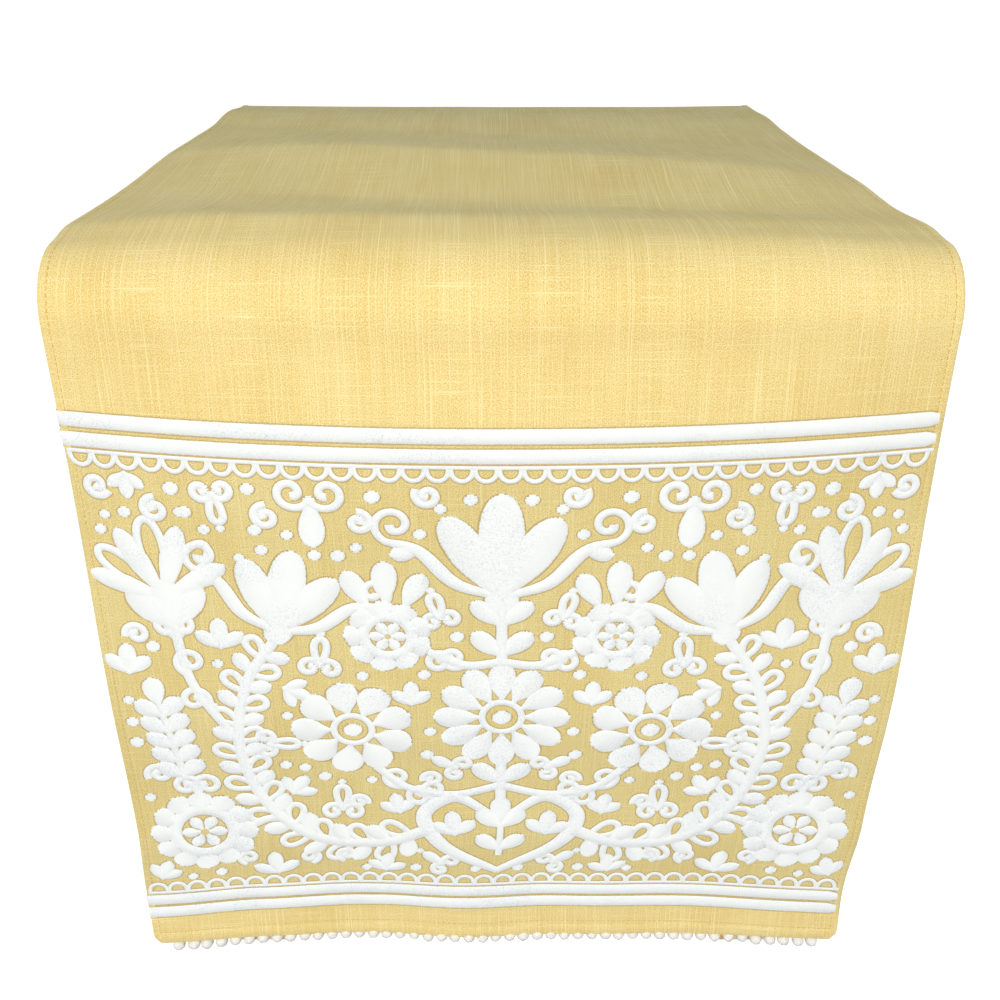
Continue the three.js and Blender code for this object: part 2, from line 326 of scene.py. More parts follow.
def streaks(tree, coordinates, width, run, detail=2.0):
    # noise drawn out into thin streaks: width across them, run along them, in millimetres
    scaled = addNode(tree, "ShaderNodeMapping", [("Vector", coordinates, 0)],
                     {"Scale": (1 / (width * mm), 1 / (run * mm), 1.0)})
    return addNode(tree, "ShaderNodeTexNoise", [("Vector", scaled, "Vector")],
                   {"Scale": 1.0, "Detail": detail, "Roughness": 0.6}, noise_dimensions="2D")


def weighed(tree, *parts):
    # the sum of some nodes' first outputs, each with its weight
    total = None
    for node, weight in parts:
        links = [(0, node, 0)] + ([(2, total, 0)] if total else [])
        total = addNode(tree, "ShaderNodeMath", links, {1: weight} if total else {1: weight, 2: 0.0},
                        operation="MULTIPLY_ADD")
    return total


def slubLinen():
    # washed linen, plain woven from uneven yarn: a dry grain, long pale slubs down it, shorter ones across
    material, tree = newMaterial("slubLinen", Roughness=0.93, **{
        "Sheen Weight": 0.12, "Sheen Roughness": 0.5, "Sheen Tint": linear("#FFF3D0"), "IOR": 1.45,
        "Specular IOR Level": 0.2})
    w = weave
    flat = addNode(tree, "ShaderNodeUVMap", uv_map="cloth")
    # the threads wander a little, which also keeps the weave from beating against the picture's grid
    wander = addNode(tree, "ShaderNodeTexNoise", [("Vector", flat, "UV")],
                     {"Scale": 1 / (w["wanderOver"] * mm), "Detail": 1.0}, noise_dimensions="2D")
    cloth = addNode(tree, "ShaderNodeVectorMath", [(0, wander, "Color"), (2, flat, "UV")],
                    {1: (w["wander"] * mm, w["wander"] * mm, 0)}, operation="MULTIPLY_ADD")
    split = addNode(tree, "ShaderNodeSeparateXYZ", [("Vector", cloth, 0)])
    warp = streaks(tree, cloth, w["thread"] * 0.6, w["warpRun"])
    weft = streaks(tree, cloth, w["weftRun"], w["thread"] * 0.6)
    grain = streaks(tree, cloth, *w["dash"], 1.5)
    cloud = streaks(tree, cloth, *w["cloud"])
    # each warp thread's slubs begin at a place of their own, within a few slubs' length
    thread = addNode(tree, "ShaderNodeMath", [(0, split, "X")], {1: 1 / (w["thread"] * mm)},
                     operation="MULTIPLY")
    start = addNode(tree, "ShaderNodeTexNoise", [("W", thread, 0)], {"Scale": 1.0, "Detail": 0.0},
                    noise_dimensions="1D")
    slid = addNode(tree, "ShaderNodeMath", [(0, start, "Fac")], {1: 4 * w["warpSlub"] * mm},
                   operation="MULTIPLY")
    shift = addNode(tree, "ShaderNodeCombineXYZ", [("Y", slid, 0)])
    staggered = addNode(tree, "ShaderNodeVectorMath", inOrder(cloth, shift), operation="ADD")
    downward = streaks(tree, staggered, w["slubWidth"], w["warpSlub"], 0.0)
    sideways = streaks(tree, cloth, w["weftSlub"], w["slubWidth"], 0.0)
    slubs = [addNode(tree, "ShaderNodeMapRange", [(0, noise, "Fac")], {1: low, 2: high})
             for noise, (low, high) in ((downward, w["warpRare"]), (sideways, w["weftRare"]))]
    slub = addNode(tree, "ShaderNodeMath", inOrder(*slubs), operation="MAXIMUM")
    # every thread goes over one that crosses it and under the next
    waves = []
    for axis in ("X", "Y"):
        phase = addNode(tree, "ShaderNodeMath", [(0, split, axis)], {1: math.pi / (w["thread"] * mm)},
                        operation="MULTIPLY")
        waves.append(addNode(tree, "ShaderNodeMath", inOrder(phase), operation="SINE"))
    over = addNode(tree, "ShaderNodeMath", inOrder(*waves), operation="MULTIPLY")
    yarns = weighed(tree, (warp, 0.25), (weft, 0.13), (grain, 1.5), (cloud, 0.22), (over, 0.03))
    tone = addNode(tree, "ShaderNodeMapRange", inOrder(yarns), {1: w["tones"][0], 2: w["tones"][1]})
    yarn = addNode(tree, "ShaderNodeValToRGB", inOrder(tone))
    setRamp(yarn, w["deep"], w["bright"], (0.5, w["yarn"]))
    # among the dense stitching the cloth is drawn tight and its slubs show less; its colour is made a little
    # deeper by painted shade, the shade between the raised stitches
    far = addNode(tree, "ShaderNodeMath", [(0, split, "Y")], operation="ABSOLUTE")
    bounds = [addNode(tree, "ShaderNodeMapRange", inOrder(far),
                      {1: (halfLength - first) * mm, 2: (halfLength - last) * mm, 3: low, 4: 1 - low})
              for (first, last), low in ((w["panelTop"], 0.0), (w["panelFoot"], 1.0))]
    among = addNode(tree, "ShaderNodeMath", inOrder(*bounds), operation="MULTIPLY")
    shown = addNode(tree, "ShaderNodeMapRange", inOrder(among), {3: w["slubShows"][0], 4: w["slubShows"][1]})
    paleness = addNode(tree, "ShaderNodeMath", inOrder(slub, shown), operation="MULTIPLY")
    pale = addNode(tree, "ShaderNodeMix", [(0, paleness, 0), (6, yarn, "Color")], {7: linear(w["slub"])},
                   data_type="RGBA")
    stitchShaded = addNode(tree, "ShaderNodeMix", [(0, among, 0), (6, pale, 2)], {7: linear(w["paintedShadeAmongStitches"])},
                     data_type="RGBA", blend_type="MULTIPLY")
    return dressed(material, stitchShaded, weighed(tree, (yarns, 1.0), (slub, 0.4), (over, 0.25)), 0.5, 0.3)


def whiteCotton(name, light, shade, speck, **surface):
    # bleached cotton: bright white with a soft sheen; its faint cool-grey specks, patch by patch, are painted
    # shade, the blue-grey shade of dense fills
    material, tree = newMaterial(name, Roughness=0.5, **{
        "Sheen Weight": 0.3, "Sheen Roughness": 0.35, "IOR": 1.5, "Specular IOR Level": 0.35, **surface})
    place = addNode(tree, "ShaderNodeTexCoord")
    noise = addNode(tree, "ShaderNodeTexNoise", [("Vector", place, "Object")],
                    {"Scale": 1 / (speck * mm), "Detail": 2.0, "Roughness": 0.7})
    patch = addNode(tree, "ShaderNodeTexNoise", [("Vector", place, "Object")],
                    {"Scale": 1 / (38 * mm), "Detail": 1.0})
    shadeSpecks = [addNode(tree, "ShaderNodeMapRange", inOrder(node), {1: low, 2: high})
              for node, low, high in ((noise, 0.5, 0.72), (patch, 0.45, 0.62))]
    amount = addNode(tree, "ShaderNodeMath", inOrder(*shadeSpecks), operation="MULTIPLY")
    colour = addNode(tree, "ShaderNodeMix", inOrder(amount), {6: linear(light), 7: linear(shade)},
                     data_type="RGBA")
    return dressed(material, colour, noise, 0.25, 0.2)


def twoShades(name, scale, dark, pale, detail=2.0, **surface):
    # one colour that strays a little either way
    material, tree = newMaterial(name, **surface)
    place = addNode(tree, "ShaderNodeTexCoord")
    noise = addNode(tree, "ShaderNodeTexNoise", [("Vector", place, "Object")],
                    {"Scale": scale, "Detail": detail})
    colour = addNode(tree, "ShaderNodeMix", inOrder(noise), {6: linear(dark), 7: linear(pale)},
                     data_type="RGBA")
    return dressed(material, colour)


pine = {
    "ring": 9.0, "wave": 0.314,         # about how far apart the rings are, and the scale of rings 1 m apart
    "stretch": 0.06,                    # how much of a ring's waviness is left along the board
    "wobble": 26.0, "swerve": 22,       # over what distance the rings stray, and how far
    "fibre": 0.7, "fibreRun": 60.0,
    "pale": "#E4C89C", "middle": "#DDBD8D", "dark": "#C79D69",
}


def planedPine(name, grainAxis):
    # planed pine under clear satin lacquer: broad pale rings drawn out along the board, fine darker fibre
    material, tree = newMaterial(name, Roughness=0.42, **{
        "Coat Weight": 0.15, "Coat Roughness": 0.3, "IOR": 1.5, "Specular IOR Level": 0.4})
    place = addNode(tree, "ShaderNodeTexCoord")
    along = [pine["stretch"] if axis == grainAxis else 1.0 for axis in "XYZ"]
    drawn = addNode(tree, "ShaderNodeMapping", [("Vector", place, "Object")], {"Scale": along})
    wobble = addNode(tree, "ShaderNodeTexNoise", [("Vector", drawn, "Vector")],
                     {"Scale": 1 / (pine["wobble"] * mm), "Detail": 2.0})
    shifted = addNode(tree, "ShaderNodeVectorMath", [(0, wobble, "Color"), (2, drawn, "Vector")],
                      {1: [pine["swerve"] * mm] * 3}, operation="MULTIPLY_ADD")
    rings = addNode(tree, "ShaderNodeTexWave", [("Vector", shifted, "Vector")],
                    {"Scale": pine["wave"] / (pine["ring"] * mm), "Distortion": 1.2, "Detail": 2.0},
                    bands_direction="DIAGONAL")
    thin = [1 / (pine["fibreRun" if axis == grainAxis else "fibre"] * mm) for axis in "XYZ"]
    combed = addNode(tree, "ShaderNodeMapping", [("Vector", place, "Object")], {"Scale": thin})
    fibre = addNode(tree, "ShaderNodeTexNoise", [("Vector", combed, "Vector")], {"Scale": 1.0, "Detail": 3.0})
    board = addNode(tree, "ShaderNodeValToRGB", [("Fac", rings, "Fac")])
    setRamp(board, pine["pale"], pine["dark"], (0.62, pine["middle"]))
    grain = addNode(tree, "ShaderNodeMapRange", inOrder(fibre), {1: 0.3, 2: 0.7, 3: 0.82, 4: 1.06})
    colour = addNode(tree, "ShaderNodeMix", [(6, board, "Color"), (7, grain, "Result")], {0: 1.0},
                     data_type="RGBA", blend_type="MULTIPLY")
    return dressed(material, colour, fibre, 0.2, 0.15)


linen = slubLinen()
# mercerised thread in satin stitch
whiteThread = whiteCotton("stitchedCotton", "#E8EEF3", "#C8D3E3", 0.9)
# yellow sewing cotton, a shade deeper than the cloth
yellowThread = twoShades("hemThread", 1 / (0.8 * mm), "#B98A34", "#E3BD66", Roughness=0.6,
                         **{"Sheen Weight": 0.2})
# the same linen as the cloth, darker: painted shadow beside the dense stitching, partly the needle-pierced
# cloth there
edgeShadowLinen = twoShades("edgeShadowLinen", 1 / (weave["thread"] * mm), "#AC9765", "#CDB988", 1.0, Roughness=0.95,
                       **{"Specular IOR Level": 0.15})
print("finishes made")


# The cloth: one closed sheet, thicker in its hems, its corners rounded

def stationsFrom(half, hem):
    # distances in from an edge: close together round the edge and at the hem's stitching
    near = [0, 0.18, 0.6, runner["edgeSoft"], hem * 0.5, hem - 1.3, hem - runner["seamIn"], hem - 0.25,
            hem + 0.25, hem + 0.9, hem + 2.6]
    count = int(round(2 * (half - near[-1]) / runner["grid"]))
    between = np.linspace(-half + near[-1], half - near[-1], count + 1)[1:-1]
    return np.concatenate([[-half + d for d in near], between, [half - d for d in reversed(near)]])


def hemShape(inward, hem):
    # the fullness of the outer face and the share of the fold behind, at a distance in from the edge
    groove = np.exp(-((inward - hem + runner["seamIn"]) / runner["seamWide"]) ** 2)
    puff = np.sqrt(np.clip(inward / runner["edgeSoft"], 0, 1)) * np.clip(hem - inward, 0, 1)
    behind = np.clip((hem + 0.25 - inward) / 0.5, 0, 1)
    return runner["hemPuff"] * puff - runner["hemGroove"] * groove, behind


def makeCloth():
    acrossLine = stationsFrom(halfWidth, runner["sideHem"])
    alongLine = stationsFrom(halfLength, runner["endHem"])
    across, along = np.meshgrid(acrossLine, alongLine)
    fromSide, fromEnd = halfWidth - np.abs(across), halfLength - np.abs(along)
    sideFull, sideBack = hemShape(fromSide, runner["sideHem"])
    endFull, endBack = hemShape(fromEnd, runner["endHem"])
    full = np.where(np.abs(sideFull) > np.abs(endFull), sideFull, endFull)
    back = np.maximum(sideBack, endBack)
    edge = np.clip(np.minimum(fromSide, fromEnd) / runner["edgeSoft"], 0, 1)
    plump = np.sqrt(np.clip(1 - (1 - edge) ** 2, 0, 1))
    # corners: the last columns step inwards where the end is near
    into = np.clip(runner["cornerRound"] - fromEnd, 0, None)
    cut = runner["cornerRound"] - np.sqrt(runner["cornerRound"] ** 2 - into ** 2)
    place = across - np.sign(across) * cut * easing(1 - fromSide / runner["cornerReach"])
    half, setBack = runner["thickness"] / 2, 0.5 * (1 - plump) * back
    outer = clothPoints(place, along, (half + full) * plump - setBack)
    inner = clothPoints(place, along, -(half + runner["hemBehind"] * back) * plump - setBack)
    rows, columns = across.shape
    points = np.concatenate([outer.reshape(-1, 3), inner.reshape(-1, 3)])
    uv = np.tile(np.stack([across.ravel(), along.ravel()], 1) * mm, (2, 1))
    grid = np.arange(rows * columns).reshape(rows, columns)
    a, b, c, d = grid[:-1, :-1], grid[:-1, 1:], grid[1:, 1:], grid[1:, :-1]
    outerFaces = np.stack([a, b, c, d], -1).reshape(-1, 4)
    innerFaces = np.stack([d, c, b, a], -1).reshape(-1, 4) + rows * columns
    faces = np.concatenate([outerFaces, innerFaces])
    cloth = meshObject("runnerCloth", points, faces.tolist(), linen)
    layer = cloth.data.uv_layers.new(name="cloth")
    layer.data.foreach_set("uv", uv[faces].astype(np.float32).ravel())
    shape = bmesh.new()
    shape.from_mesh(cloth.data)
    bmesh.ops.remove_doubles(shape, verts=shape.verts, dist=0.02 * mm)
    shape.to_mesh(cloth.data)
    shape.free()
    return cloth


cloth = makeCloth()
print("cloth:", len(cloth.data.polygons), "faces")


# Embroidery, drawn flat: across from the middle and up from the hem's edge, right half mirrored to the left.
# A stroke is (line, half widths); the stitches lie across it.

panel = {
    "plainBelow": 20.0, "topAt": 337.0,     # lower edge of the lowest stripe, upper edge of the highest
    "left": -199.4, "right": 196.6,         # where the border rows begin and end, across
    "stripeWidth": 7.6, "stripeGap": 2.2, "lowerGap": 1.4, "thinGap": 0.8,
    "scallopLine": 2.0, "scallopTall": 8.4, "scallops": 36, "lineWidth": 2.7, "inset": 1.5,
    "drawnIn": 3.0,                         # how far the dense stitching has drawn the border rows together
}
stitching = {
    "fullness": 0.9,                        # how far the stitches reach past a motif's drawn width
    "pitch": 0.85, "overlap": 1.6,          # the stitches' spacing, and their own width in pitches
    "slant": 5.0, "jitter": 0.8,            # their lean and its unevenness, in degrees
    "low": 0.45, "rise": 0.12, "high": 0.95,    # a stitch's height: least, growth with its length, most
    "halo": 0.5,                            # how far the band of painted shadow reaches beside them
}
fineLine = 2.3                              # the line of open petals, scrolls and rings


def turned(angle):
    return np.array([math.cos(math.radians(angle)), math.sin(math.radians(angle))])


def lengthsAlong(line):
    return np.concatenate([[0], np.cumsum(np.linalg.norm(np.diff(line, axis=0), axis=1))])


def evenLine(line, step=1.5):
    line = np.asarray(line, float)
    along = lengthsAlong(line)
    places = np.linspace(0, along[-1], max(3, int(round(along[-1] / step)) + 1))
    return np.stack([np.interp(places, along, line[:, k]) for k in (0, 1)], 1)


def smoothLine(knots, step=1.5):
    # a smooth curve through a few knots
    knots = np.array(knots, float)
    ends = np.vstack([2 * knots[0] - knots[1], knots, 2 * knots[-1] - knots[-2]])
    t = np.linspace(0, 1, 24, endpoint=False)[:, None]
    line = [0.5 * (2 * b + (c - a) * t + (2 * a - 5 * b + 4 * c - d) * t**2 + (3 * b - a - 3 * c + d) * t**3)
            for a, b, c, d in zip(ends, ends[1:], ends[2:], ends[3:])]
    return evenLine(np.vstack([*line, knots[-1:]]), step)


def placeOn(line, share):
    # a point of a line and the angle it runs at
    along = lengthsAlong(line)
    places = share * along[-1] + np.array([0, -2, 2])
    here, before, after = np.stack([np.interp(places, along, line[:, k]) for k in (0, 1)], 1)
    return here, math.degrees(math.atan2(*(after - before)[::-1]))


def evenStroke(line, width):
    line = evenLine(line)
    return [(line, np.full(len(line), width / 2))]


def stem(knots, width=2.7, end=None):
    line = smoothLine(knots)
    return [(line, np.linspace(width, end or width, len(line)) / 2)]


def swelling(knots, start, middle, end):
    # a stem that is fullest in its middle
    line = smoothLine(knots)
    t = np.linspace(0, 1, len(line))
    ends = np.where(t < 0.5, start, end)
    return [(line, (ends + (middle - ends) * np.sin(np.pi * t)) / 2)]


def bowed(base, angle, length, bend, t):
    # a line from base along angle that curves to the left
    line = np.array(base, float) + np.outer(t * length, turned(angle))
    return line + np.outer(bend * length * t**2, turned(angle + 90))


def petal(base, angle, length, width, fullest=0.62, bend=0.0):
    # a filled drop, narrow at its base and round at its tip
    t = np.linspace(0, 1, max(8, int(length / 1.1)))
    rising = np.sin(np.pi / 2 * np.minimum(t / fullest, 1)) ** 1.15
    rounding = np.sqrt(1 - np.clip((t - fullest) / (1 - fullest), 0, 1) ** 2.2)
    return [(bowed(base, angle, length, bend, t), np.maximum(width / 2 * rising * rounding, 0.5))]


def loop(base, angle, length, width):
    # an open petal: a line that goes out, round and back to its base
    t = np.linspace(0, 2 * math.pi, 33)
    ahead = length * (0.5 - 0.5 * np.cos(t))
    aside = 0.5 * width * np.sin(t) * (0.8 - 0.35 * np.cos(t))
    outline = np.array(base) + np.outer(ahead, turned(angle)) + np.outer(aside, turned(angle + 90))
    return evenStroke(outline, fineLine)


def scroll(base, angle, size, hand=1, turns=1.3, thread=fineLine):
    # a curl that leaves its base along angle and winds inwards, to the left when hand is 1
    t = np.linspace(0, 1, 70)
    radius = size * (1 - 0.8 * t)
    bearing = math.radians(angle - 90 * hand) + hand * 2 * math.pi * turns * t
    centre = np.array(base, float) + size * turned(angle + 90 * hand)
    line = evenLine(centre + np.stack([radius * np.cos(bearing), radius * np.sin(bearing)], 1), 1.2)
    half = np.full(len(line), thread / 2)
    half[-4:] = thread * 0.66
    return [(line, half)]


def berry(centre, size):
    t = np.linspace(-1, 1, 7)
    line = np.array(centre, float) + np.outer(t * size * 0.92, [0, 1])
    return [(line, np.maximum(size * np.sqrt(1 - 0.92 * t**2), 0.4))]


def ring(centre, radius, thread=fineLine):
    t = np.linspace(0, 2 * math.pi, max(12, int(radius * 4)))
    return evenStroke(np.array(centre) + radius * np.stack([np.cos(t), np.sin(t)], 1), thread)


def whorl(centre, count, away, length, width, fullest=0.62):
    # petals all round, each from a little way off the centre
    made = []
    for k in range(count):
        angle = 360 * k / count
        made += petal(centre + turned(angle) * away, angle, length, width, fullest)
    return made


def daisy(centre, radius, petals, eye=0.3):
    # separate petals round a ringed eye
    made = whorl(centre, petals, radius * eye * 1.15, radius * (1 - eye * 1.1), 4.48 * radius / petals)
    return made + ring(centre, radius * eye, 2.0) + berry(centre, radius * eye * 0.42)


def rosette(centre, radius, lobes):
    # a full round flower: lobed edge, thick ring, and a small flower within
    made = whorl(centre, lobes, radius * 0.55, radius * 0.45, 5.1 * radius / lobes, 0.55)
    made += ring(centre, radius * 0.56, radius * 0.2)
    return made + whorl(centre, 6, radius * 0.1, radius * 0.3, radius * 0.2, 0.6)


def fan(base, angle, spread, size, count, wide=0.3, opened=()):
    # petals spread from one point, the outer ones shorter, and those opened drawn as lines
    made = []
    for k in range(count):
        lean = angle + spread * (k / (count - 1) - 0.5)
        reach = size * (1 - 0.16 * abs(2 * k / (count - 1) - 1))
        width = reach * wide
        made += loop(base, lean, reach, width * 1.25) if k in opened else petal(base, lean, reach, width)
    return made


def lily(base, angle, size, opened=False):
    # a petal between two scrolls, with a berry over it
    base = np.array(base, float)
    made = loop(base, angle, size, size * 0.46) if opened else petal(base, angle, size, size * 0.44)
    for side in (-1, 1):
        made += scroll(base, angle + side * 26, size * 0.36, side, 1.15)
    return made + berry(base + turned(angle) * size * 1.2, size * 0.1) + berry(base, size * 0.09)


def sprig(base, angle, length, pairs, leaf=11, width=6.2, curve=0.0):
    # a stalk with paired leaves and one at its tip
    line = bowed(base, angle, length, curve, np.linspace(0, 1, 8))
    made = stem(line, 2.4, 2.0)
    for k in range(pairs):
        place, lean = placeOn(line, 0.16 + 0.72 * k / (pairs - 1) if pairs > 1 else 0.5)
        for side in (-1, 1):
            made += petal(place, lean + side * 48, leaf, width)
    return made + petal(line[-1], placeOn(line, 1)[1], leaf * 1.1, width * 1.1)


def fern(knots, size, spacing, width, start, stop, smallest=0.75):
    # a thick stem with filled and open leaves by turns along each side
    line = smoothLine(knots)
    made = [(line, np.linspace(width, width * 0.6, len(line)) / 2)]
    count = int(lengthsAlong(line)[-1] * (stop - start) / spacing)
    for k in range(count + 1):
        share = start + (stop - start) * k / count
        place, angle = placeOn(line, share)
        reach = size * (1 - (1 - smallest) * share)
        for side in (1, -1):
            if (k + (side > 0)) % 2:
                made += loop(place, angle + side * 58, reach, reach * 0.62)
            else:
                made += petal(place, angle + side * 58, reach, reach * 0.52)
    return made


def curls(knots, places, size, lean=62):
    # scrolls that spring from a stem, by share along it and side
    line, made = smoothLine(knots), []
    for share, side in places:
        place, angle = placeOn(line, share)
        made += scroll(place, angle + side * lean, size, -side)
    return made


def tulip(base, angle, size):
    # three closed petals between two that curl over, on a round cup
    base = np.array(base, float)
    made = petal(base, angle, size, size * 0.34, 0.6)
    for side in (-1, 1):
        made += petal(base, angle + side * 28, size * 0.9, size * 0.3, 0.6, side * 0.04)
        curled = [base + turned(angle + side * lean) * size * reach
                  for lean, reach in ((64, 0.1), (66, 0.42), (54, 0.8), (58, 1.06))]
        made += swelling(curled, 2.6, 5.6, 2.2)
        made += scroll(curled[-1], angle + side * 66, size * 0.17, -side, 1.15, 2.2)
        made += petal(curled[2], angle + side * 100, size * 0.22, size * 0.12)
    return made + berry(base, size * 0.13)


def carnation(base, angle, size):
    # a fan of filled and open petals on a closed cup, with a berry over every other petal
    heart = np.array(base, float) + turned(angle) * size * 0.3
    made = fan(heart, angle, 128, size * 0.72, 7, 0.25, (1, 3, 5))
    for lean, reach in ((-34, 0.5), (0, 0.46), (34, 0.5)):
        made += petal(base, angle + lean, size * reach, size * 0.25, 0.6)
    for k in (2, 4, 6):
        away = size * (0.86 - 0.033 * abs(k - 3))
        made += berry(heart + turned(angle + 128 * (k / 6 - 0.5)) * away, 1.9)
    return made


def mirrored(strokes):
    return strokes + [(line * [-1, 1], half) for line, half in strokes]


def sideMotifs():
    made = fern([(40, 84), (66, 73), (100, 77), (127, 105), (137, 148), (129, 190), (112, 218)],
                17.5, 11.6, 6.6, 0.05, 0.94)
    made += tulip((110, 222), 103, 50)
    # full flower low in the corner, with curls and a leafy stalk above it
    made += rosette((163, 85), 29, 12)
    made += curls([(163, 84), (163, 144)], [(0.5, 1), (0.5, -1)], 8, 44)
    made += sprig((168, 117), 85, 60, 5, 15.5, 9, -0.03)
    made += stem([(119, 94), (128, 93), (136, 89)], 3.4)
    # carnation in the top corner
    stalk = [(137, 152), (156, 190), (161, 226)]
    made += stem(stalk, 3.6) + carnation((161, 224), 84, 60)
    made += curls(stalk, [(0.34, 1), (0.62, -1), (0.9, 1), (0.9, -1)], 8)
    # daisy held between the branch and the middle
    stalk = [(0, 118), (26, 111), (50, 116), (66, 132)]
    made += stem(stalk, 3.8) + daisy((77, 160), 31, 9, 0.32)
    made += curls(stalk, [(0.4, -1), (0.72, -1), (0.5, 1)], 8)
    # arch to a small full flower
    arch = [(0, 205), (18, 203), (36, 211)]
    made += stem(arch, 3.6) + rosette((56, 221), 21.5, 9) + curls(arch, [(0.5, -1), (0.66, 1)], 7)
    for lean, reach in ((64, 23), (90, 25), (116, 22)):
        made += petal(np.array((56, 221)) + turned(lean) * 20, lean, reach, reach * 0.44)
    return made


fillings = {
    # base, angle, size, open middle petal
    "lilies": [((86, 100), 92, 17, True), ((121, 150), 180, 15, True), ((88, 299), 270, 25, False),
               ((133, 300), 264, 15, True), ((24, 132), 30, 14, False), ((91, 203), 96, 16, True),
               ((31, 56), 40, 14, False), ((30, 233), 76, 14, True)],
    # base, angle, spread, size, count, width share
    "fans": [((63, 49), 96, 118, 14, 3, 0.46), ((124, 49), 82, 118, 17, 3, 0.44),
             ((187, 197), 92, 96, 17, 3, 0.44), ((55, 97), 80, 96, 14, 3, 0.46),
             ((110, 188), 206, 90, 14, 3, 0.42), ((189, 50), 110, 90, 14, 3, 0.46),
             ((112, 112), 122, 100, 15, 3, 0.44), ((139, 213), 90, 104, 17, 3, 0.44),
             ((25, 81), 84, 104, 17, 3, 0.46), ((46, 178), 90, 100, 14, 3, 0.46),
             ((173, 308), 270, 100, 12, 3, 0.46)],
    # base, angle, size, hand
    "scrolls": [((87, 57), 20, 5.6, 1), ((104, 56), 160, 5.6, -1), ((142, 57), 20, 5.6, 1),
                ((188, 126), 66, 7, 1), ((109, 296), 0, 6.6, -1), ((161, 297), 0, 6.6, -1),
                ((66, 294), 180, 6, 1), ((182, 298), 300, 6, 1), ((186, 219), 80, 6, 1),
                ((39, 306), 300, 6, -1), ((42, 122), 80, 5.4, 1), ((72, 104), 100, 5.2, -1)],
    # centre, size
    "berries": [((156, 52), 2.6), ((172, 50), 2.2), ((39, 142), 2.8), ((39, 197), 2.6), ((190, 152), 3.0),
                ((190, 166), 2.6), ((190, 180), 2.2), ((148, 176), 2.4), ((104, 132), 2.6), ((147, 290), 2.6),
                ((115, 282), 2.6), ((14, 301), 2.6), ((28, 296), 2.2), ((110, 170), 2.2), ((74, 51), 2.2),
                ((46, 52), 2.6), ((12, 52), 2.4), ((68, 274), 2.2), ((69, 122), 2.2), ((189, 112), 2.4),
                ((152, 302), 3.0), ((22, 221), 2.8), ((59, 302), 3.0), ((77, 269), 2.8), ((173, 213), 2.8),
                ((94, 125), 2.8), ((114, 134), 2.6), ((113, 271), 2.4), ((37, 159), 2.6), ((116, 304), 2.6),
                ((176, 288), 2.4), ((70, 196), 2.4), ((38, 282), 2.4), ((100, 280), 2.2), ((139, 281), 2.2),
                ((142, 203), 2.2), ((189, 278), 2.2)],
}


def fillingMotifs():
    made = []
    for motif, rows in ((lily, "lilies"), (fan, "fans"), (scroll, "scrolls"), (berry, "berries")):
        for row in fillings[rows]:
            made += motif(*row)
    return made


def middleMotifs():
    size, low = 50, 50
    shoulder = [(0, low), (0.62 * size, low + 0.42 * size), (0.84 * size, low + 0.9 * size),
                (0.5 * size, low + 1.18 * size), (0.14 * size, low + 0.95 * size)]
    made = mirrored(swelling(shoulder, 3.4, 7.4, 3.4))
    made += sprig((0, 64), 90, 26, 2, 17, 9)
    made += stem([(0, 100), (0, 120), (0, 140)], 4.2) + stem([(0, 200), (0, 220), (0, 246)], 4.2, 3.6)
    for up, width in ((120, 9.6), (209, 9.6), (228, 9)):
        for side in (-1, 1):
            made += petal((0, up), 90 + side * 46, 20, width)
    return made + daisy(np.array([0, 169]), 34, 12) + tulip((0, 244), 90, 60)


def borderRows(sign, edge):
    # two stripes, a thin gap, and a row of scallops that faces the field
    p = panel
    gap = p["lowerGap"] if sign > 0 else p["stripeGap"]
    made, at = [], edge
    for _ in range(2):
        middle = at + sign * p["stripeWidth"] / 2
        line = evenLine([(p["left"], middle), (p["right"], middle)], 4)
        half = np.full(len(line), p["stripeWidth"] / 2)
        half[-1] = p["stripeWidth"] * 0.36      # the right-hand ends are rounded
        made.append((line, half))
        at += sign * (p["stripeWidth"] + gap)
    at += sign * (p["thinGap"] - gap + p["scallopLine"] / 2)
    start = p["left"] + p["inset"]
    made += evenStroke([(start, at), (p["right"], at)], p["scallopLine"])
    pitch = (p["right"] - p["left"] - 2 * p["inset"]) / p["scallops"]
    t = np.linspace(0, math.pi, 16)
    for k in range(p["scallops"]):
        x = start + pitch * (k + 0.5) + pitch * 0.46 * np.cos(t)
        y = at + sign * (p["scallopTall"] - p["lineWidth"] / 2) * np.sin(t) ** 0.8
        made += evenStroke(np.stack([x, y], 1), p["lineWidth"] * 0.9)
    return made


# Stitches: Geometry Nodes lay one domed stitch across the line at every step

def stitchShape():
    # one stitch: a low dome, long across the line and blunt at both ends
    rows = [(-1.0, [(-0.38, 0), (0.38, 0)]), (-0.8, [(-0.5, 0.5), (0, 1), (0.5, 0.5)]),
            (0.8, [(-0.5, 0.5), (0, 1), (0.5, 0.5)]), (1.0, [(-0.38, 0), (0.38, 0)])]
    points = [(along, across, high) for across, row in rows for along, high in row]
    faces = [(0, 1, 3), (0, 3, 2), (1, 4, 3), (2, 3, 6, 5), (3, 4, 7, 6), (5, 6, 8), (6, 9, 8), (6, 7, 9)]
    shape = meshObject("stitchShape", points, faces, whiteThread)
    shape.hide_render = True
    return shape


def newTree(name, *sockets):
    # a Geometry Nodes tree that lays one shape many times; its sizes are (name, kind, first value)
    tree = bpy.data.node_groups.new(name, "GeometryNodeTree")
    for label, kind, value in (("Geometry", "Geometry", None), ("Shape", "Object", None),
                               ("Finish", "Material", None), ("Seed", "Int", 1), *sockets):
        socket = tree.interface.new_socket(label, in_out="INPUT", socket_type="NodeSocket" + kind)
        if value is not None:
            socket.default_value = value
    tree.interface.new_socket("Geometry", in_out="OUTPUT", socket_type="NodeSocketGeometry")
    return tree, addNode(tree, "NodeGroupInput")


